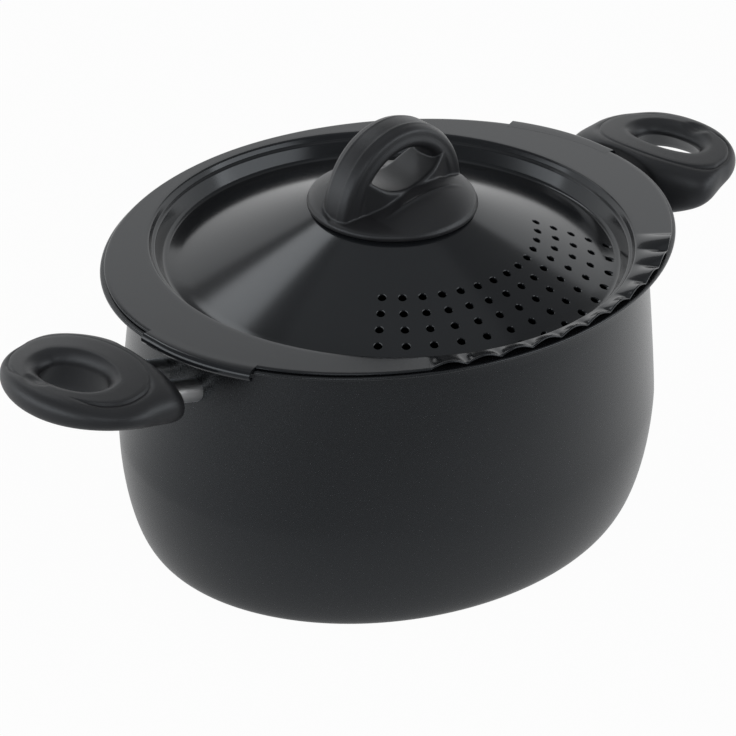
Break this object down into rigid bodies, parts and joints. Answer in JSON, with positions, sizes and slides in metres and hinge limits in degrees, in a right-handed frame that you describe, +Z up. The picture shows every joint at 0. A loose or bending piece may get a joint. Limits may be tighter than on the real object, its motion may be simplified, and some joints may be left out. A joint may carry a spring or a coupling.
{
  "type": "pasta pot",
  "caption": "Oval coated pasta pot with loop grips on steel ferrules and a strainer lid with a sunk well, drain holes, a waved edge, rim hooks and a loop knob.",
  "frame": {"origin": "middle of the pot's flat base, on the surface it stands on", "axes": "+Z up, +X along the two grips to the right, the strainer's drain edge faces -Y"},
  "size_m": [0.3906, 0.224, 0.1859],
  "materials": {
    "pot_coating": "satin dark grey non-stick coating on drawn aluminium",
    "lid_coating": "satin dark grey coating on pressed aluminium sheet",
    "soft_plastic": "matt fine-grained black moulding",
    "bright_steel": "polished",
    "insert_brass": "plain turned",
    "gasket_rubber": "plain black"
  },
  "bodies": {
    "pot": {"pot_shell": "pot_coating", "grip_left": "soft_plastic", "grip_right": "soft_plastic", "ferrule_left_front": "bright_steel", "ferrule_left_rear": "bright_steel", "ferrule_right_front": "bright_steel", "ferrule_right_rear": "bright_steel", "stud_left_front": "bright_steel", "stud_left_rear": "bright_steel", "stud_right_front": "bright_steel", "stud_right_rear": "bright_steel", "insert_left_front": "insert_brass", "insert_left_rear": "insert_brass", "insert_right_front": "insert_brass", "insert_right_rear": "insert_brass"},
    "lid_carrier": {"knob_screw": "bright_steel", "screw_washer": "bright_steel"},
    "lid": {"lid_pan": "lid_coating", "lid_knob": "soft_plastic", "knob_gasket": "gasket_rubber", "knob_insert": "insert_brass"}
  },
  "joints": [
    {"name": "lid_lift", "type": "slide", "parent": "pot", "child": "lid_carrier", "axis": [0, 0, 1], "range_m": [0, 0.15]},
    {"name": "lid_twist", "type": "hinge", "parent": "lid_carrier", "child": "lid", "pos_m": [0, 0, 0.13], "axis": [0, 0, 1], "range_deg": [-6, 0]}
  ]
}
